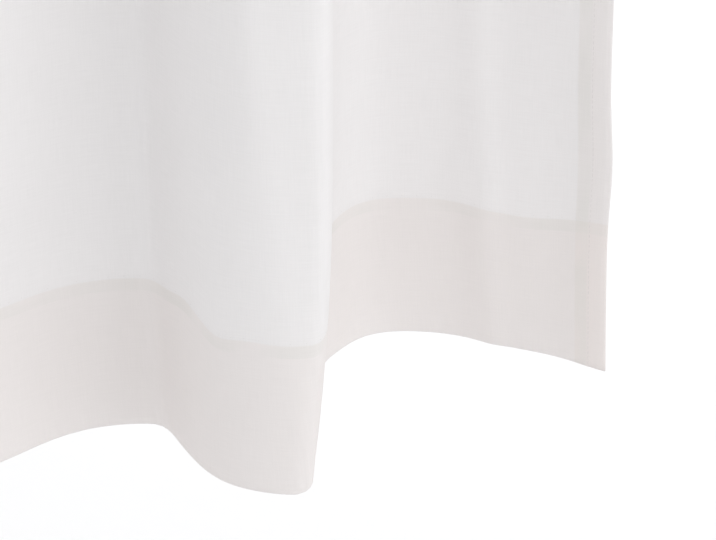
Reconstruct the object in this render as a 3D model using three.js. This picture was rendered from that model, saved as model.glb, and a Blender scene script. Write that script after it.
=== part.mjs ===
// Linen curtain panel, hanging in loose uneven folds, in millimetres with +Z up.
// The panel is one piece of cloth: its side hems, deep bottom hem and top hem are turned from it.
// X runs along the width, -Y faces the room, and the origin is the middle of the top edge.
import * as THREE from 'three';

// Driving dimensions of the finished panel
const DROP = 2400; // top edge to foot
const FLAT_WIDTH = 1400; // laid flat, edge to edge
const HUNG_WIDTH = 840; // hanging in its folds
const BOTTOM_HEM = 100;
const TOP_HEM = 75;
const SIDE_HEM = 20;
const CLOTH = 1.2; // one layer
const HEM_LAYERS = 2.4; // cloth turned on itself
const HEM_RISE = 2; // height over which a hem's edge steps down to one layer
const HEM_EDGE = 1.5; // width of the same step beside a side hem

// Near the foot each fold strays from the line it keeps higher up.
const STRAY_HEIGHT = 200;
const CORNER_DROOP = 2; // the doubled corners hang a little low
const DROOP_REACH = 45; // along the foot
const DROOP_HEIGHT = 260; // and up the side hem

// One row for each bend of the cloth at the foot, from the left edge to the right edge.
// x and y are its place, before and after are how far it runs on flat to each side, turn is the
// cloth's direction there, and strayX and strayY lead to its place above the stray height.
const BENDS = [
  { name: 'left edge', x: -420, y: 14, before: 0, after: 44, turn: -48, strayX: 4, strayY: 3 },
  { name: 'first crest', x: -352, y: -72, before: 34, after: 46, turn: 0, strayX: -3, strayY: 4 },
  { name: 'first hollow', x: -262, y: 54, before: 40, after: 34, turn: 0, strayX: 2, strayY: -6 },
  { name: 'second crest', x: -181, y: -59, before: 44, after: 30, turn: 0, strayX: 6, strayY: 3 },
  { name: 'second hollow', x: -84, y: 66, before: 46, after: 52, turn: 0, strayX: -4, strayY: -8 },
  { name: 'third crest', x: 16, y: -84, before: 42, after: 36, turn: 0, strayX: -5, strayY: 5 },
  { name: 'shelf', x: 146, y: -17, before: 48, after: 22, turn: 0, strayX: -4, strayY: -4 },
  { name: 'front lobe', x: 231, y: -96, before: 66, after: 32, turn: 0, strayX: 14, strayY: 1 },
  { name: 'deep hollow', x: 297, y: 101, before: 83, after: 38, turn: 0, strayX: -6, strayY: -28 },
  { name: 'right edge', x: 420, y: 52, before: 58, after: 0, turn: -21, strayX: -3, strayY: -9 },
];

// At the top hem the folds are even, and each bend runs on by this share of their spacing.
const TOP_ROUNDNESS = 0.5;

// Mesh spacing
const COLUMN_STEP = 14;
const TIGHT_STEP = 7; // around the front lobe, which turns sharply
const TIGHT_REACH = 50; // to each side of its crest, along the cloth
const FIRST_ROW_STEP = 45;
const ROW_GROWTH = 1.2;
const LAST_ROW_STEP = 190;

const mix = (a, b, share) => a + (b - a) * share;
const smooth = (share) => share * share * (3 - 2 * share);

// The bends at a height above the foot: uneven below, even at the top.
function bendsAt(height) {
  const even = smooth(height / DROP);
  const below = Math.max(0, 1 - height / STRAY_HEIGHT);
  const strayed = 1 - below * below;
  const spacing = HUNG_WIDTH / (BENDS.length - 1);
  return BENDS.map((bend, i) => ({
    x: mix(bend.x + bend.strayX * strayed, -HUNG_WIDTH / 2 + spacing * i, even),
    y: mix(bend.y + bend.strayY * strayed, (i % 2 ? -spacing : spacing) / 2, even),
    before: mix(bend.before + bend.strayX * strayed, spacing * TOP_ROUNDNESS, even),
    after: mix(bend.after, spacing * TOP_ROUNDNESS, even),
    turn: THREE.MathUtils.degToRad(bend.turn) * (1 - even),
  }));
}

// The curve of the cloth seen from above, with its folds made deeper or shallower by depth.
function foldLine(bends, depth) {
  const line = new THREE.CurvePath();
  for (let i = 1; i < bends.length; i++) {
    const [from, to] = [bends[i - 1], bends[i]];
    line.add(new THREE.CubicBezierCurve(
      new THREE.Vector2(from.x, from.y * depth),
      new THREE.Vector2(
        from.x + from.after * Math.cos(from.turn),
        (from.y + from.after * Math.sin(from.turn)) * depth,
      ),
      new THREE.Vector2(
        to.x - to.before * Math.cos(to.turn),
        (to.y - to.before * Math.sin(to.turn)) * depth,
      ),
      new THREE.Vector2(to.x, to.y * depth),
    ));
  }
  return line;
}

// Cloth doesn't stretch, so at every height the folds are as deep as its flat width needs.
function settledLine(height) {
  const bends = bendsAt(height);
  let [shallow, deep] = [0.3, 3];
  for (let i = 0; i < 24; i++) {
    const depth = (shallow + deep) / 2;
    if (foldLine(bends, depth).getLength() < FLAT_WIDTH) shallow = depth;
    else deep = depth;
  }
  return foldLine(bends, shallow);
}

// Heights of the rows above the foot, closer together in the hem and the strayed folds.
function rowHeights() {
  const heights = [0, BOTTOM_HEM / 2, BOTTOM_HEM, BOTTOM_HEM + HEM_RISE];
  const lastPlain = DROP - TOP_HEM - HEM_RISE;
  let step = FIRST_ROW_STEP;
  while (heights.at(-1) + step * 1.5 < lastPlain) {
    heights.push(heights.at(-1) + step);
    step = Math.min(step * ROW_GROWTH, LAST_ROW_STEP);
  }
  heights.push(lastPlain, DROP - TOP_HEM, DROP);
  return heights;
}

// Distances of the columns from the left edge, along the cloth.
function columnPlaces() {
  const lobe = BENDS.findIndex((bend) => bend.name === 'front lobe');
  const crest = foldLine(bendsAt(0).slice(0, lobe + 1), 1).getLength();
  const stops = [
    [SIDE_HEM, SIDE_HEM],
    [SIDE_HEM + HEM_EDGE, HEM_EDGE],
    [crest - TIGHT_REACH, COLUMN_STEP],
    [crest + TIGHT_REACH, TIGHT_STEP],
    [FLAT_WIDTH - SIDE_HEM - HEM_EDGE, COLUMN_STEP],
    [FLAT_WIDTH - SIDE_HEM, HEM_EDGE],
    [FLAT_WIDTH, SIDE_HEM],
  ];
  const places = [0];
  for (const [end, step] of stops) {
    const start = places.at(-1);
    const count = Math.ceil((end - start) / step);
    for (let i = 1; i <= count; i++) places.push(mix(start, end, i / count));
  }
  return places;
}

// Layers lie on the back, so the face stays smooth where a hem begins.
function thicknessAt(place, height) {
  const fromSide = Math.min(place, FLAT_WIDTH - place);
  const hemmed = fromSide <= SIDE_HEM || height <= BOTTOM_HEM || height >= DROP - TOP_HEM;
  return hemmed ? HEM_LAYERS : CLOTH;
}

// How far the corners hang below the level of the foot.
function droopAt(place, height) {
  const fromSide = Math.min(place, FLAT_WIDTH - place);
  const along = Math.max(0, 1 - fromSide / DROOP_REACH);
  const up = Math.max(0, 1 - height / DROOP_HEIGHT);
  return CORNER_DROOP * along * along * up;
}

// The closed sheet: a face skin, a back skin behind it, and a rim that joins them.
function panelGeometry() {
  const heights = rowHeights();
  const places = columnPlaces();
  const [rows, columns] = [heights.length, places.length];
  const face = [];
  const back = [];
  for (const height of heights) {
    const line = settledLine(height);
    for (const place of places) {
      const at = line.getPoint(place / FLAT_WIDTH);
      const along = line.getTangent(place / FLAT_WIDTH);
      const thick = thicknessAt(place, height);
      const z = height - DROP - droopAt(place, height);
      face.push(at.x, at.y, z);
      back.push(at.x - along.y * thick, at.y + along.x * thick, z);
    }
  }

  const index = [];
  const quad = (a, b, c, d) => index.push(a, b, c, a, c, d);
  const onFace = (row, column) => row * columns + column;
  const onBack = (row, column) => rows * columns + onFace(row, column);
  for (let row = 1; row < rows; row++) {
    for (let column = 1; column < columns; column++) {
      const [low, left] = [row - 1, column - 1];
      quad(onFace(low, left), onFace(low, column), onFace(row, column), onFace(row, left));
      quad(onBack(low, column), onBack(low, left), onBack(row, left), onBack(row, column));
    }
  }
  for (let column = 1; column < columns; column++) {
    const [left, top] = [column - 1, rows - 1];
    quad(onBack(0, left), onBack(0, column), onFace(0, column), onFace(0, left));
    quad(onFace(top, left), onFace(top, column), onBack(top, column), onBack(top, left));
  }
  for (let row = 1; row < rows; row++) {
    const [low, right] = [row - 1, columns - 1];
    quad(onBack(low, 0), onFace(low, 0), onFace(row, 0), onBack(row, 0));
    quad(onFace(low, right), onBack(low, right), onBack(row, right), onFace(row, right));
  }

  const geometry = new THREE.BufferGeometry();
  geometry.setAttribute('position', new THREE.Float32BufferAttribute([...face, ...back], 3));
  geometry.setIndex(index);
  geometry.computeVertexNormals();
  return geometry;
}

const linen = new THREE.MeshStandardMaterial({ color: 0xf1edea, roughness: 0.95, metalness: 0 });

const panel = new THREE.Mesh(panelGeometry(), linen);
panel.name = 'curtain_panel';

const group = new THREE.Group();
group.add(panel);

export default group;
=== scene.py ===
# %% [markdown]
# # A linen curtain panel
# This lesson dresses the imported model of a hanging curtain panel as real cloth. The panel is one
# cut length of thin linen, turned and sewn along its four edges, hanging in deep uneven folds.
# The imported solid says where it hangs, so the first step loads it and keeps its box.

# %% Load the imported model
import math

import bmesh
import bpy
import numpy as np
from mathutils import Matrix, Vector, noise


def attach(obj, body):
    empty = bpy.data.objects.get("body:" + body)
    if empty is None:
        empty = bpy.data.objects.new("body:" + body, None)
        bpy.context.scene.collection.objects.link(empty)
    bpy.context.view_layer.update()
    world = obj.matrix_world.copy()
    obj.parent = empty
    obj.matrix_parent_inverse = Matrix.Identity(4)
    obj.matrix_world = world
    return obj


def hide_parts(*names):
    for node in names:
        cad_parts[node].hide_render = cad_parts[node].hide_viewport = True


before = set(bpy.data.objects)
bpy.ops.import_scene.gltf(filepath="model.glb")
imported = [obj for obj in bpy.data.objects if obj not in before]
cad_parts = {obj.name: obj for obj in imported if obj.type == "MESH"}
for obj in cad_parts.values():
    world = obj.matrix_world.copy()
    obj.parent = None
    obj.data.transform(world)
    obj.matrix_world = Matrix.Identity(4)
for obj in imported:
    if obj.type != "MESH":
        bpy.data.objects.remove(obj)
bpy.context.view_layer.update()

# %% [markdown]
# A maker thinks of the panel in finished sizes: how long it drops, how wide it lies flat, and how
# much cloth each hem takes. They are given here in millimetres and are those of the solid. The
# real cloth is thinner than the solid, and its layers lie a tenth of a millimetre apart, so the
# step from one layer to the next is a little more than the cloth.

# %% Sizes of the panel, in millimetres
MM = 0.001
DROP = 2400
FLAT_WIDTH = 1400
HUNG_WIDTH = 840
BOTTOM_HEM = 100
TOP_HEM = 75
SIDE_HEM = 20
TURN_IN = 8
SIDE_TURN_IN = 8
CLOTH = 0.36
LAYER = 0.46

# %% [markdown]
# Seen from above, a hanging curtain is a line that swings to and fro. A painter would draw it
# with a few bends, and so does this table: one row for each crest and hollow at the foot, with
# its place, how far the cloth runs on flat to each side of it, its direction, and how far the
# fold strays from there to where it hangs higher up. These are the bends of the solid.

# %% The bends, from the left edge to the right edge
# name, x, y, before, after, turn, stray x, stray y
BENDS = [
    ("left edge", -420, 14, 0, 44, -48, 4, 3),
    ("first crest", -352, -72, 34, 46, 0, -3, 4),
    ("first hollow", -262, 54, 40, 34, 0, 2, -6),
    ("second crest", -181, -59, 44, 30, 0, 6, 3),
    ("second hollow", -84, 66, 46, 52, 0, -4, -8),
    ("third crest", 16, -84, 42, 36, 0, -5, 5),
    ("shelf", 146, -17, 48, 22, 0, -4, -4),
    ("front lobe", 231, -96, 66, 32, 0, 14, 1),
    ("deep hollow", 297, 101, 83, 38, 0, -6, -28),
    ("right edge", 420, 52, 58, 0, -21, -3, -9),
]
STRAY_HEIGHT = 200
TOP_ROUNDNESS = 0.5
CORNER_DROOP = 2
DROOP_REACH = 45
DROOP_HEIGHT = 260


def smooth(share):
    share = np.clip(share, 0, 1)
    return share * share * (3 - 2 * share)


def bends_at(height):
    """The bends at a height above the foot, as rows of x, y, before, after and turn."""
    even = smooth(height / DROP)
    strayed = 1 - max(0, 1 - height / STRAY_HEIGHT) ** 2
    spacing = HUNG_WIDTH / (len(BENDS) - 1)
    rows = []
    for i, (_, x, y, before, after, turn, stray_x, stray_y) in enumerate(BENDS):
        below = (x + stray_x * strayed, y + stray_y * strayed, before + stray_x * strayed, after)
        side = -1 if i % 2 else 1
        above = (i * spacing - HUNG_WIDTH / 2, side * spacing / 2, *[spacing * TOP_ROUNDNESS] * 2)
        rows.append([a + (b - a) * even for a, b in zip(below, above)])
        rows[-1].append(math.radians(turn) * (1 - even))
    return rows


print("bends:", len(BENDS), "at the foot:", bends_at(0)[0])

# %% [markdown]
# Between two bends the cloth swings over in an S, and a Bezier curve with its handles along the
# cloth is just that. Cloth doesn't stretch, so at every height the folds are made as deep as the
# flat width needs. That is what keeps the panel believable where the folds change on the way up.

# %% The line of the cloth at a height
BEZIER_STEPS = 48
DEPTHS = (0.3, 3.0)
HALVINGS = 24
steps = np.linspace(0, 1, BEZIER_STEPS + 1)[:-1]
rest = 1 - steps
BEZIER = np.stack([rest**3, 3 * steps * rest**2, 3 * steps**2 * rest, steps**3], 1)
lines_found = {}


def line_at(height):
    """Places along the cloth from its left edge, and the points (x, y) there."""
    height = min(max(height, 0), DROP)
    if height in lines_found:
        return lines_found[height]
    bends = bends_at(height)
    points = []
    for (x0, y0, _, after, turn0), (x1, y1, before, _, turn1) in zip(bends, bends[1:]):
        handles = [
            (x0, y0),
            (x0 + after * math.cos(turn0), y0 + after * math.sin(turn0)),
            (x1 - before * math.cos(turn1), y1 - before * math.sin(turn1)),
            (x1, y1),
        ]
        points.append(BEZIER @ np.array(handles))
    points = np.vstack([*points, [bends[-1][:2]]])
    steps_x, steps_y = np.diff(points, axis=0).T
    shallow, deep = DEPTHS
    for _ in range(HALVINGS):
        depth = (shallow + deep) / 2
        if np.hypot(steps_x, steps_y * depth).sum() < FLAT_WIDTH:
            shallow = depth
        else:
            deep = depth
    points[:, 1] *= shallow
    places = np.concatenate([[0], np.cumsum(np.hypot(steps_x, steps_y * shallow))])
    lines_found[height] = places * FLAT_WIDTH / places[-1], points
    return lines_found[height]


print("places on the foot's line:", len(line_at(0)[0]))

# %% [markdown]
# Creases make cloth look worn and handled. Each one here is a soft ridge or trough, listed one by
# one:
# where it starts and ends on the panel, how far it leans on the way up, how wide it is to its
# left and right, and how far it stands out. Over them lies a slow waviness that all linen keeps,
# and along the hem's line the sewing puckers the cloth a little.

# %% Creases on the panel, in millimetres
# place, low, high, lean, left width, right width, rise
CREASES = [
    (1066, -160, 430, -52, 22, 9, 2.2),
    (1054, -170, 150, -8, 22, 9, 1.2),
    (1196, -200, 160, 0, 24, 14, -3.4),
    (870, -200, 280, 0, 30, 29, -6),
    (1329, -150, 460, -18, 10, 7, 2.6),
    (1325, 88, 150, 2, 5, 5, 0.8),
    (946, 30, 1300, -6, 26, 26, 2.5),
    (1309, 92, 142, -6, 5, 5, 1.0),
    (1024, 150, 460, 8, 4, 4, 0.5),
    (982, 110, 260, -6, 8, 9, 0.5),
    (1318, -250, 420, 0, 36, 36, -2.2),
    (1366, -250, 280, 0, 17, 14, -2.6),
    (893, 30, 1300, -6, 22, 22, -2.0),
    (700, 90, 900, 22, 12, 18, 2.2),
    (842, 300, 1500, -16, 14, 12, -1.8),
    (560, 0, 520, 10, 10, 14, 1.8),
    (415, 200, 1300, -20, 16, 12, 2.0),
    (268, 60, 700, 14, 9, 13, 1.6),
    (96, 120, 1100, 10, 12, 14, 1.5),
    (1190, 500, 1700, 14, 14, 16, 2.0),
    (1290, 700, 2000, -18, 12, 14, 1.6),
    (330, 1200, 2200, 12, 12, 10, 1.4),
    (640, 1300, 2150, -10, 12, 14, 1.4),
]
CREASE_FADE = 0.3
WAVE_WIDTH, WAVE_LENGTH, WAVE_RISE, WAVE_SEED = 34, 190, 0.7, 0.5
PUCKER_WIDTH, PUCKER_LENGTH, PUCKER_RISE, PUCKER_SEED = 9, 28, 0.22, 7.5
PUCKER_REACH = 7


def uneven(places, height, width, length, seed):
    """Smooth noise from -1 to 1 over the cloth, one value for each place."""
    return np.array([noise.noise((place / width, height / length, seed)) for place in places])


def relief_at(places, height):
    """How far the face stands towards the room, beyond the solid's smooth folds."""
    rise = WAVE_RISE * uneven(places, height, WAVE_WIDTH, WAVE_LENGTH, WAVE_SEED)
    for at, low, high, lean, left, right, peak in CREASES:
        up = (height - low) / (high - low)
        if 0 < up < 1:
            across = places - at - lean * up
            width = np.where(across < 0, left, right)
            ends = smooth(up / CREASE_FADE) * smooth((1 - up) / CREASE_FADE)
            rise += peak * ends * np.exp(-((across / width) ** 2) / 2)
    to_line = abs(height - BOTTOM_HEM)
    if to_line < PUCKER_LENGTH:
        pucker = uneven(places, height, PUCKER_WIDTH, PUCKER_LENGTH, PUCKER_SEED)
        rise += PUCKER_RISE * pucker * math.exp(-((to_line / PUCKER_REACH) ** 2) / 2)
    return rise


print("creases:", len(CREASES))

# %% [markdown]
# Each hem is turned twice, as a sewer does it: a narrow turn-in first, so that no raw edge shows,
# and then the hem itself, both to the back. Where the side hems and the bottom hem cross, nine
# layers lie on each other. A column of the cut cloth is given by its place on the finished panel
# and its side layer, and a row by its height and by how much of it is face, turn-in and flap.

# %% Columns and rows of the cut cloth
FINE_FROM = 880
FINE_COLUMN, COARSE_COLUMN, HEM_COLUMN, TURNED_COLUMN = 4.6, 9.6, 4, 3
FINE_ROW, HEM_ROW, TURNED_ROW, TOP_HEM_ROW = 6, 5, 4, 15
LAST_ROW, ROW_GROWTH = 26, 1.05
FINE_HEIGHT = 340
BEFORE_FOLD = 0.2
FACE, TURNED, FLAP = np.eye(3)


def spread(start, end, step):
    """Even steps from start up to but not at end."""
    count = max(1, round(abs(end - start) / step))
    return [start + (end - start) * i / count for i in range(count)]


def side_columns():
    """The left side hem's columns, from its raw edge to the finished edge: (place, layer)."""
    last = SIDE_HEM - BEFORE_FOLD
    turned = [(at, 1) for at in spread(SIDE_HEM - SIDE_TURN_IN, last, TURNED_COLUMN)]
    flap = [(at, 2) for at in spread(SIDE_HEM, 0, HEM_COLUMN)]
    return [*turned, (last, 1), (SIDE_HEM + LAYER / 2, 1.5), *flap, (0, 2), (-LAYER, 1)]


def row_heights():
    """Heights of the face's rows, close together at the foot and wider apart further up."""
    heights = spread(0, BOTTOM_HEM, HEM_ROW) + spread(BOTTOM_HEM, FINE_HEIGHT, FINE_ROW)
    heights.append(FINE_HEIGHT)
    step = FINE_ROW
    while heights[-1] + step < DROP - step / 2:
        heights.append(heights[-1] + step)
        step = min(step * ROW_GROWTH, LAST_ROW)
    return [*heights, DROP]


left = side_columns()
right = [(FLAT_WIDTH - at, layer) for at, layer in reversed(left)]
face = spread(0, SIDE_HEM, HEM_COLUMN) + spread(SIDE_HEM, FINE_FROM, COARSE_COLUMN)
face += spread(FINE_FROM, FLAT_WIDTH - SIDE_HEM, FINE_COLUMN)
face += spread(FLAT_WIDTH - SIDE_HEM, FLAT_WIDTH, HEM_COLUMN) + [FLAT_WIDTH]
columns = np.array(left + [(at, 0) for at in face] + right)

last = BOTTOM_HEM - BEFORE_FOLD
rows = [(at, TURNED) for at in spread(BOTTOM_HEM - TURN_IN, last, TURNED_ROW)]
rows += [(last, TURNED), (BOTTOM_HEM + LAYER / 2, (TURNED + FLAP) / 2)]
rows += [(at, FLAP) for at in spread(BOTTOM_HEM, 0, HEM_ROW)] + [(0, FLAP)]
rows += [(-LAYER, (FACE + FLAP) / 2)]
rows += [(at, FACE) for at in row_heights()]
top_line = DROP - TOP_HEM
rows += [(DROP + LAYER, (FACE + FLAP) / 2)]
rows += [(at, FLAP) for at in spread(DROP, top_line, TOP_HEM_ROW)] + [(top_line, FLAP)]
rows += [(top_line - LAYER / 2, (TURNED + FLAP) / 2)]
first = top_line + BEFORE_FOLD
rows += [(at, TURNED) for at in spread(first, top_line + TURN_IN, TURNED_ROW)]
rows += [(top_line + TURN_IN, TURNED)]
print("columns:", len(columns), "rows:", len(rows), "quads:", len(columns) * len(rows))

# %% [markdown]
# The layers are stacked behind the face. Where a side hem crosses the top or bottom hem, every
# layer of that hem is itself three layers thick, and the flap, folded over once, carries them in
# the opposite order. Beside the crossing the stack thins out over a few millimetres.

# %% How far behind the face each layer lies
CROSSING_FADE = 7


def layers_behind(column_layer, places, height, kinds):
    """The number of layers between the face and this one, for each place at one height."""
    from_side = np.minimum(places, FLAT_WIDTH - places)
    doubled = 1 - smooth((from_side - SIDE_HEM) / CROSSING_FADE)
    to_line = max(BOTTOM_HEM - TURN_IN - height, height - (DROP - TOP_HEM + TURN_IN))
    filled = 1 - smooth(min(to_line, DROP - height) / CROSSING_FADE)
    if BOTTOM_HEM < height < top_line:
        filled = 1
    in_face = column_layer
    in_turn = 1 + 2 * doubled + column_layer
    in_flap = 1 + filled + (4 + 2 * filled) * doubled - column_layer
    return kinds[0] * in_face + kinds[1] * in_turn + kinds[2] * in_flap


print("behind the face at a corner:", layers_behind(0, np.array([10]), 95, FLAP), "layers")

# %% [markdown]
# Now the cloth itself. A grid of quads is the woven cloth, laid out flat with one vertex for each
# column and row. Its UV map is the cut cloth in metres, so the weave follows the threads through
# every fold. Then each vertex is carried to where it hangs. A cloth simulation would drape it
# too, but not into these very folds, so they are placed by the same curves as the solid. Three
# small things that sewn cloth does are given one by one. The hem line wanders up and down, the
# right edge bows out a little above the hem, and the flap behind keeps in from the edges so it
# stays hidden.

# %% Weave the grid and hang it
EDGE_STEP = 2.0
FLAP_TUCK, TUCK_REACH = 1.4, 15
# place, width and lift of each rise or dip of the bottom hem's line
HEM_LIFTS = [
    (966, 13, 5.4),
    (1001, 10, -4.6),
    (1346, 21, -5.5),
    (1398, 12, 1.8),
    (640, 40, 2.0),
    (300, 50, -2.0),
]
LIFT_REACH = 38
BULGE_HEIGHT, BULGE_LENGTH, BULGE_REACH, BULGE = 140, 24, 26, 2.4


def hang(places, height, behind):
    """Where points of the cloth at one height hang, and the directions its face looks there."""
    line_places, line_points = line_at(height)

    def on_line(at):
        at = np.clip(at, 0, FLAT_WIDTH)
        return np.stack([np.interp(at, line_places, axis) for axis in line_points.T], 1)

    along = on_line(places + EDGE_STEP) - on_line(places - EDGE_STEP)
    along /= np.linalg.norm(along, axis=1, keepdims=True)
    outward = np.stack([along[:, 1], -along[:, 0]], 1)
    pulled = math.exp(-(((height - BULGE_HEIGHT) / BULGE_LENGTH) ** 2) / 2)
    beyond = places - np.clip(places, 0, FLAT_WIDTH)
    beyond += BULGE * pulled * np.exp((places - FLAT_WIDTH) / BULGE_REACH)
    stand = relief_at(places, height) - behind * LAYER
    at = on_line(places) + along * beyond[:, None] + outward * stand[:, None]
    from_side = np.maximum(np.minimum(places, FLAT_WIDTH - places), 0)
    droop = np.maximum(0, 1 - from_side / DROOP_REACH) ** 2 * max(0, 1 - height / DROOP_HEIGHT)
    level = height - CORNER_DROOP * droop
    for lifted, width, lift in HEM_LIFTS:
        by_line = math.exp(-(((height - BOTTOM_HEM) / LIFT_REACH) ** 2) / 2)
        level = level + lift * by_line * np.exp(-(((places - lifted) / width) ** 2) / 2)
    return np.column_stack([at, level - DROP]) * MM, outward


def along_cut(pairs):
    """Distance along the cut cloth of each (position, layer) pair."""
    pairs = np.array(pairs, float) * (1, LAYER)
    return np.concatenate([[0], np.cumsum(np.hypot(*np.diff(pairs, axis=0).T))])


cut_x = along_cut(columns) * MM
cut_y = along_cut([(at, kinds @ (0, 1, 2)) for at, kinds in rows]) * MM
face_columns = [i for i, (_, layer) in enumerate(columns) if layer == 0]
face_rows = [i for i, (_, kinds) in enumerate(rows) if kinds[0] == 1]
# along the length or not, place of the fold on the cut cloth, hem, turn-in
FOLDS = [
    (True, cut_y[face_rows[0]], BOTTOM_HEM, TURN_IN),
    (True, cut_y[face_rows[-1]], TOP_HEM, TURN_IN),
    (False, cut_x[face_columns[0]], SIDE_HEM, SIDE_TURN_IN),
    (False, cut_x[face_columns[-1]], SIDE_HEM, SIDE_TURN_IN),
]

cloth = bmesh.new()
bmesh.ops.create_grid(cloth, x_segments=len(columns) - 1, y_segments=len(rows) - 1, size=1)
weave_map = cloth.loops.layers.uv.new("weave")
spots = {}
for vertex in cloth.verts:
    column = round((vertex.co.x + 1) / 2 * (len(columns) - 1))
    row = round((vertex.co.y + 1) / 2 * (len(rows) - 1))
    spots[vertex] = (column, row)
for quad in cloth.faces:
    quad.smooth = True
    for corner in quad.loops:
        column, row = spots[corner.vert]
        corner[weave_map].uv = (cut_x[column], cut_y[row])
places, layers = columns.T
sides = np.exp(-places / TUCK_REACH) - np.exp((places - FLAT_WIDTH) / TUCK_REACH)
hung = []
for height, kinds in rows:
    tucked = places + (1 - kinds[0]) * FLAP_TUCK * sides
    hung.append(hang(tucked, height, layers_behind(layers, places, height, kinds))[0])
for vertex, (column, row) in spots.items():
    vertex.co = hung[row][column]

panel_mesh = bpy.data.meshes.new("linen_panel")
cloth.to_mesh(panel_mesh)
cloth.free()
panel = bpy.data.objects.new("linen_panel", panel_mesh)
bpy.context.scene.collection.objects.link(panel)
thick = panel.modifiers.new("cloth thickness", "SOLIDIFY")
thick.thickness = CLOTH * MM
thick.offset = 0
print("cloth:", len(panel_mesh.vertices), "vertices,", len(panel_mesh.polygons), "quads")

# %% [markdown]
# The hems are sewn with a plain lockstitch along the sides and the top: short dashes of thread on
# the face and on the back. The bottom hem is sewn blind. Its stitches catch the edge of the flap
# on the back and show on the face only as small pricks. Each stitch is one small spindle, and
# all of them are one mesh. They are made in batches, because adding to a large bmesh is slow.

# %% Sew the hems
THREAD = 0.34
STITCH, STITCH_GAP, STITCH_SLANT = 2.7, 0.8, 3
SIDE_SEAM = 10.8
TOP_SEAM = TOP_HEM - 3
ACROSS = 90
BLIND_STEP, BLIND_STITCH, BLIND_SLANT = 9.0, 3.2, 32
BLIND_RAISED, BLIND_BEHIND = 0.6, 1.6
PRICK, PRICK_ASIDE, PRICK_RAISED, PRICK_SLANT = 0.7, 0.9, 1.6, 80
BATCH = 60
THREAD_SIZE = Matrix.Diagonal((THREAD * MM / 2, THREAD * MM / 2, MM / 2, 1))


def stitch(place, height, length, slope, behind):
    """The matrix of one stitch, slope degrees off the upright, this many layers behind the face."""
    (at, beside), (outward, _) = hang(np.array([place, place + 1]), height, behind)
    (above,), _ = hang(np.array([place]), height + 1, behind)
    upright = Vector(above - at).normalized()
    level = Vector(beside - at).normalized()
    turn = math.radians(slope)
    along = (upright * math.cos(turn) + level * math.sin(turn)).normalized()
    across = along.cross(Vector((*outward, 0))).normalized()
    turned = Matrix((across, across.cross(along), along)).transposed().to_4x4()
    return Matrix.Translation(at) @ turned @ THREAD_SIZE @ Matrix.Scale(length, 4, (0, 0, 1))


on_face = -CLOTH / 2 / LAYER
seam_stitches = []
for seam in (SIDE_SEAM, FLAT_WIDTH - SIDE_SEAM):
    for height in np.arange(STITCH, DROP, STITCH + STITCH_GAP):
        hemmed = height < BOTTOM_HEM or height > top_line
        back = layers_behind(0, seam, height, FLAP) if hemmed else 2
        seam_stitches.append(stitch(seam, height, STITCH, STITCH_SLANT, on_face))
        seam_stitches.append(stitch(seam, height, STITCH, -STITCH_SLANT, back - on_face))
for place in np.arange(SIDE_HEM, FLAT_WIDTH - SIDE_HEM, STITCH + STITCH_GAP):
    height = DROP - TOP_SEAM
    back = layers_behind(0, place, height, FLAP)
    seam_stitches.append(stitch(place, height, STITCH, ACROSS - STITCH_SLANT, on_face))
    seam_stitches.append(stitch(place, height, STITCH, ACROSS + STITCH_SLANT, back - on_face))
for place in np.arange(SIDE_HEM + BLIND_STEP, FLAT_WIDTH - SIDE_HEM, BLIND_STEP):
    height = BOTTOM_HEM + BLIND_RAISED
    seam_stitches.append(stitch(place, height, BLIND_STITCH, BLIND_SLANT, BLIND_BEHIND))
    height = BOTTOM_HEM + PRICK_RAISED
    seam_stitches.append(stitch(place + PRICK_ASIDE, height, PRICK, PRICK_SLANT, on_face))

sewing = bmesh.new()
for start in range(0, len(seam_stitches), BATCH):
    few = bmesh.new()
    for matrix in seam_stitches[start : start + BATCH]:
        bmesh.ops.create_uvsphere(few, u_segments=6, v_segments=4, radius=1, matrix=matrix)
    few_mesh = bpy.data.meshes.new("few stitches")
    few.to_mesh(few_mesh)
    few.free()
    sewing.from_mesh(few_mesh)
    bpy.data.meshes.remove(few_mesh)

for part in sewing.faces:
    part.smooth = True
stitch_mesh = bpy.data.meshes.new("hem_stitches")
sewing.to_mesh(stitch_mesh)
sewing.free()
stitches = bpy.data.objects.new("hem_stitches", stitch_mesh)
bpy.context.scene.collection.objects.link(stitches)
print("stitches:", len(seam_stitches), "faces:", len(stitch_mesh.polygons))

# %% [markdown]
# Materials are written as sums. This small class wraps a shader socket, so that adding or
# multiplying two of them adds the Math node. Other nodes come from one method.


# %% A socket that can be used in sums
class Wire:
    """A value socket of one material's nodes, for use in Python expressions."""

    def __init__(self, tree, socket):
        self.tree = tree
        self.socket = socket

    def node(self, kind, settings=None, inputs=None, out=0):
        """Adds a node, sets its settings first and then its sockets, and wraps one output."""
        made = self.tree.nodes.new(kind)
        for name, value in (settings or {}).items():
            setattr(made, name, value)
        for name, value in (inputs or {}).items():
            if isinstance(value, Wire):
                self.tree.links.new(value.socket, made.inputs[name])
            else:
                made.inputs[name].default_value = value
        return Wire(self.tree, made.outputs[out])

    def math(self, operation, *values):
        return self.node("ShaderNodeMath", {"operation": operation}, dict(enumerate(values)))

    def __add__(self, other):
        return self.math("ADD", self, other)

    def __radd__(self, other):
        return self.math("ADD", other, self)

    def __sub__(self, other):
        return self.math("SUBTRACT", self, other)

    def __rsub__(self, other):
        return self.math("SUBTRACT", other, self)

    def __mul__(self, other):
        return self.math("MULTIPLY", self, other)

    def __rmul__(self, other):
        return self.math("MULTIPLY", other, self)

    def __truediv__(self, other):
        return self.math("DIVIDE", self, other)

    def __rtruediv__(self, other):
        return self.math("DIVIDE", other, self)


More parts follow.
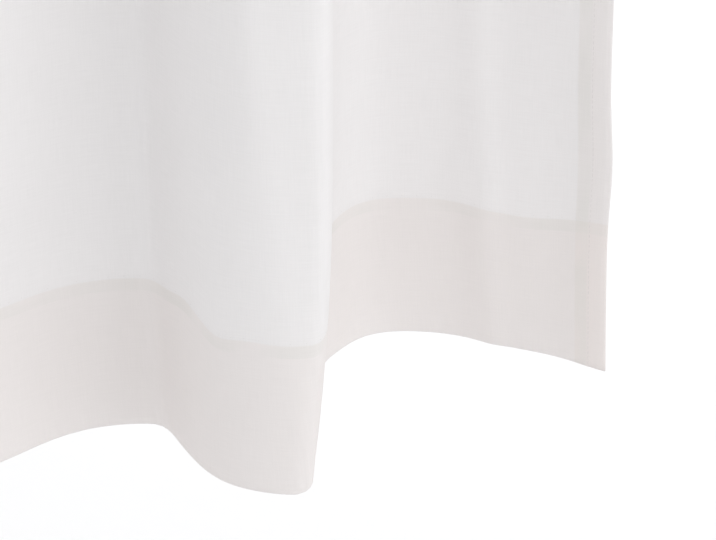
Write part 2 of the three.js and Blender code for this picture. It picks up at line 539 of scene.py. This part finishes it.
def new_material(name):
    """An empty material, its tree as a wire to build from, and its output node."""
    made = bpy.data.materials.new(name)
    made.use_nodes = True
    made.node_tree.nodes.clear()
    output = made.node_tree.nodes.new("ShaderNodeOutputMaterial")
    return made, Wire(made.node_tree, None), output


print("shader sums ready")

# %% [markdown]
# Linen yarn is never even: it swells into slubs that run a few centimetres along a thread. Each
# direction of the weave gets its own slubs, as noise drawn out along the threads on the cloth's
# UV map. The weave itself is a fine relief. Light passes through the thin cloth, so a translucent
# shader is mixed with the surface, and small gaps between the threads let a little straight
# through. Where the hems lie double and triple they hold back light, and that shade is painted
# into the colour. The hems are painted darker and warmer than the single cloth, and the strip
# turned in under their edge is painted greyer still, in patches. Both painted shades follow from
# how far a thread lies from the fold of its hem on the cut cloth, so they end just where the
# layers do.

# %% Linen
THREAD_PITCH = 0.55 * MM
SLUB_WIDTH, SLUB_LENGTH = 0.8 * MM, 18 * MM
# the second size is that of the patches in which the turned-in strip's painted shade is laid
CLOUD, TURN_IN_SHADE_PATCH = 60 * MM, 28 * MM
SLUB_SHARE, DARKEST, LIGHTEST = 0.75, 0.3, 0.7
SLUB_RELIEF, WEAVE_RELIEF, RELIEF_HEIGHT = 1.4, 0.25, 0.12 * MM
LIGHT_YARN = (0.893, 0.874, 0.870, 1)
DARK_YARN = (0.867, 0.848, 0.844, 1)
# painted shade of the hems, darker and warmer where the cloth lies in layers
HEM_SHADE_YARN = (0.884, 0.799, 0.760, 1)
# painted shade of the strip turned in under each hem's edge, greyer still
TURN_IN_SHADE_YARN = (0.77, 0.77, 0.73, 1)
# how strongly the painted shade is laid on the bottom and top hems, the side hems and the turned-in
# strip
HEM_SHADE_SHARE, SIDE_HEM_SHADE_SHARE, TURN_IN_SHADE_SHARE = 0.32, 0.22, 0.6
TURN_IN_SHADE_FROM = 0.2
HEM_BLUR = 0.5
GLOW = (0.905, 0.905, 0.910, 1)
THROUGH = 0.10
GAPS, GAPS_SPREAD = 0.02, 0.03

linen, wire, output = new_material("linen")
weave_uv = wire.node("ShaderNodeUVMap", {"uv_map": "weave"})
parts = weave_uv.node("ShaderNodeSeparateXYZ", inputs={"Vector": weave_uv})
along_width = parts
along_length = Wire(wire.tree, parts.socket.node.outputs[1])


def drawn_noise(width, length, detail):
    """Noise with streaks of these sizes across and along the width of the cloth."""
    sizes = {"X": along_width / width, "Y": along_length / length}
    place = wire.node("ShaderNodeCombineXYZ", inputs=sizes)
    inputs = {"Vector": place, "Scale": 1.0, "Detail": detail}
    return wire.node("ShaderNodeTexNoise", {"noise_dimensions": "2D"}, inputs)


def within(distance, reach):
    """1 up to this reach and 0 beyond it, with a slightly soft edge."""
    ends = {"From Min": (reach - HEM_BLUR) * MM, "From Max": (reach + HEM_BLUR) * MM}
    ends.update({"To Min": 1.0, "To Max": 0.0})
    return wire.node("ShaderNodeMapRange", {"clamp": True}, {"Value": distance, **ends})


def mixed(factor, first, second):
    """A colour from first to second, by a factor from 0 to 1."""
    return wire.node(
        "ShaderNodeMix", {"data_type": "RGBA"}, {"Factor": factor, "A": first, "B": second}, out=2
    )


warp_slubs = drawn_noise(SLUB_WIDTH, SLUB_LENGTH, 2.0)
weft_slubs = drawn_noise(SLUB_LENGTH, SLUB_WIDTH, 2.0)
clouds = drawn_noise(CLOUD, CLOUD, 1.0)
slubs = (warp_slubs + weft_slubs) / 2.0
turns = math.pi / THREAD_PITCH
warp_turn, weft_turn = along_width * turns, along_length * turns
weave = warp_turn.math("SINE", warp_turn) * weft_turn.math("SINE", weft_turn)
tone = wire.node(
    "ShaderNodeMapRange",
    {"clamp": True},
    {
        "Value": slubs * SLUB_SHARE + clouds * (1 - SLUB_SHARE),
        "From Min": DARKEST,
        "From Max": LIGHTEST,
    },
)
# painted shade in the turned-in strip, laid on in patches
patchy_turn_in_shade = TURN_IN_SHADE_SHARE * (drawn_noise(TURN_IN_SHADE_PATCH, TURN_IN_SHADE_PATCH, 1.0) - TURN_IN_SHADE_FROM)
hem_shade, turn_in_shade = 0.0, 0.0
# each hem and its turned-in strip get their painted shade by distance from the fold on the cut
# cloth
for along, fold, hem, turn_in in FOLDS:
    away = (along_length if along else along_width) - fold
    away = away.math("ABSOLUTE", away)
    in_hem = within(away, hem)
    in_band = in_hem - within(away, hem - turn_in)
    hem_shade = in_hem * (HEM_SHADE_SHARE if along else SIDE_HEM_SHADE_SHARE) + hem_shade
    turn_in_shade = in_band * patchy_turn_in_shade + turn_in_shade
# the hems' painted shade over the yarn, and the turned-in strip's painted shade over that
yarn_with_hem_shade = mixed(hem_shade, mixed(tone, DARK_YARN, LIGHT_YARN), HEM_SHADE_YARN)
yarn = mixed(turn_in_shade, yarn_with_hem_shade, TURN_IN_SHADE_YARN)
gap_share = GAPS + GAPS_SPREAD * (0.5 - slubs)
relief = slubs * SLUB_RELIEF + weave * WEAVE_RELIEF
bumps = wire.node(
    "ShaderNodeBump", inputs={"Strength": 0.15, "Distance": RELIEF_HEIGHT, "Height": relief}
)
surface = wire.node(
    "ShaderNodeBsdfPrincipled",
    inputs={"Base Color": yarn, "Roughness": 0.92, "Specular IOR Level": 0.15, "Normal": bumps},
)
glow = wire.node("ShaderNodeBsdfTranslucent", inputs={"Color": GLOW, "Normal": bumps})
clear = wire.node("ShaderNodeBsdfTransparent", inputs={"Color": (1, 1, 1, 1)})
thin = wire.node("ShaderNodeMixShader", inputs={0: THROUGH, 1: surface, 2: glow})
open_weave = wire.node("ShaderNodeMixShader", inputs={0: gap_share, 1: thin, 2: clear})
linen.node_tree.links.new(open_weave.socket, output.inputs["Surface"])
panel.data.materials.append(linen)
print("linen:", len(linen.node_tree.nodes), "nodes")

# %% [markdown]
# The sewing thread is a little darker and glossier than the linen. Its twist is too fine to
# model, so a fine noise through the thread breaks up its colour.

# %% Sewing thread
DARK_THREAD, LIGHT_THREAD = (0.70, 0.67, 0.66, 1), (0.80, 0.77, 0.76, 1)
TWISTS_PER_METRE = 2200.0
OBJECT_COORDINATES = 3

thread, wire, output = new_material("sewing_thread")
place = wire.node("ShaderNodeTexCoord", out=OBJECT_COORDINATES)
twist = wire.node(
    "ShaderNodeTexNoise", inputs={"Vector": place, "Scale": TWISTS_PER_METRE, "Detail": 1.0}
)
thread_colour = mixed(twist, DARK_THREAD, LIGHT_THREAD)
strand = wire.node(
    "ShaderNodeBsdfPrincipled", inputs={"Base Color": thread_colour, "Roughness": 0.6}
)
thread.node_tree.links.new(strand.socket, output.inputs["Surface"])
stitches.data.materials.append(thread)
print("thread:", len(thread.node_tree.nodes), "nodes")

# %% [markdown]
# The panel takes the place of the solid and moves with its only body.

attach(panel, "root")
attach(stitches, "root")
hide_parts("curtain_panel")

# %% [markdown]
# A white floor below the foot and a pale sky give the soft light of a bright studio. One large
# lamp from the front right lights the flanks that turn that way, and one from behind lets the
# thin cloth glow. Both are faint beside the sky. The camera looks down at the lower right corner
# through a long lens.

# %% Floor, light and camera
FLOOR_BELOW = 0.35
FLOOR_SIZE = 14
FLOOR_WHITE = (0.93, 0.93, 0.93, 1)
SKY_WHITE = (0.985, 0.99, 1.0, 1)

floor_mesh = bpy.data.meshes.new("floor")
floor_form = bmesh.new()
level = Matrix.Translation((0, 0, -DROP * MM - FLOOR_BELOW))
bmesh.ops.create_grid(floor_form, x_segments=1, y_segments=1, size=FLOOR_SIZE / 2, matrix=level)
floor_form.to_mesh(floor_mesh)
floor_form.free()
floor = bpy.data.objects.new("floor", floor_mesh)
bpy.context.scene.collection.objects.link(floor)
paint, wire, output = new_material("floor_paint")
matt = wire.node(
    "ShaderNodeBsdfPrincipled", inputs={"Base Color": FLOOR_WHITE, "Roughness": 0.9}
)
paint.node_tree.links.new(matt.socket, output.inputs["Surface"])
floor.data.materials.append(paint)

SEEN = Vector((0.27, -0.02, -2.22))


def lamp(name, place, width, power):
    """A square soft light that looks at the part of the panel that the camera sees."""
    light = bpy.data.lights.new(name, "AREA")
    light.size = width
    light.energy = power
    made = bpy.data.objects.new(name, light)
    made.location = place
    made.rotation_euler = (SEEN - Vector(place)).to_track_quat("-Z", "Y").to_euler()
    bpy.context.scene.collection.objects.link(made)
    return made


lamp("key", (2.6, -1.6, -1.2), 1.6, 15)
lamp("back", (0.1, 2.4, -1.0), 2.0, 15)

world = bpy.data.worlds.new("studio")
world.use_nodes = True
sky = world.node_tree.nodes["Background"]
sky.inputs["Color"].default_value = SKY_WHITE
sky.inputs["Strength"].default_value = 0.94
bpy.context.scene.world = world
bpy.context.scene.view_settings.view_transform = "Standard"

CAMERA_PLACE = (0.2693, -1.9803, -1.2666)
CAMERA_PITCH = 27.67
CAMERA_LENS = 191
camera_data = bpy.data.cameras.new("camera")
camera_data.lens = CAMERA_LENS
camera_data.sensor_width = 36
camera = bpy.data.objects.new("camera", camera_data)
camera.location = CAMERA_PLACE
camera.rotation_euler = (math.radians(90 - CAMERA_PITCH), 0, 0)
bpy.context.scene.collection.objects.link(camera)
bpy.context.scene.camera = camera
print("camera:", CAMERA_PLACE, "looking down", CAMERA_PITCH, "degrees")
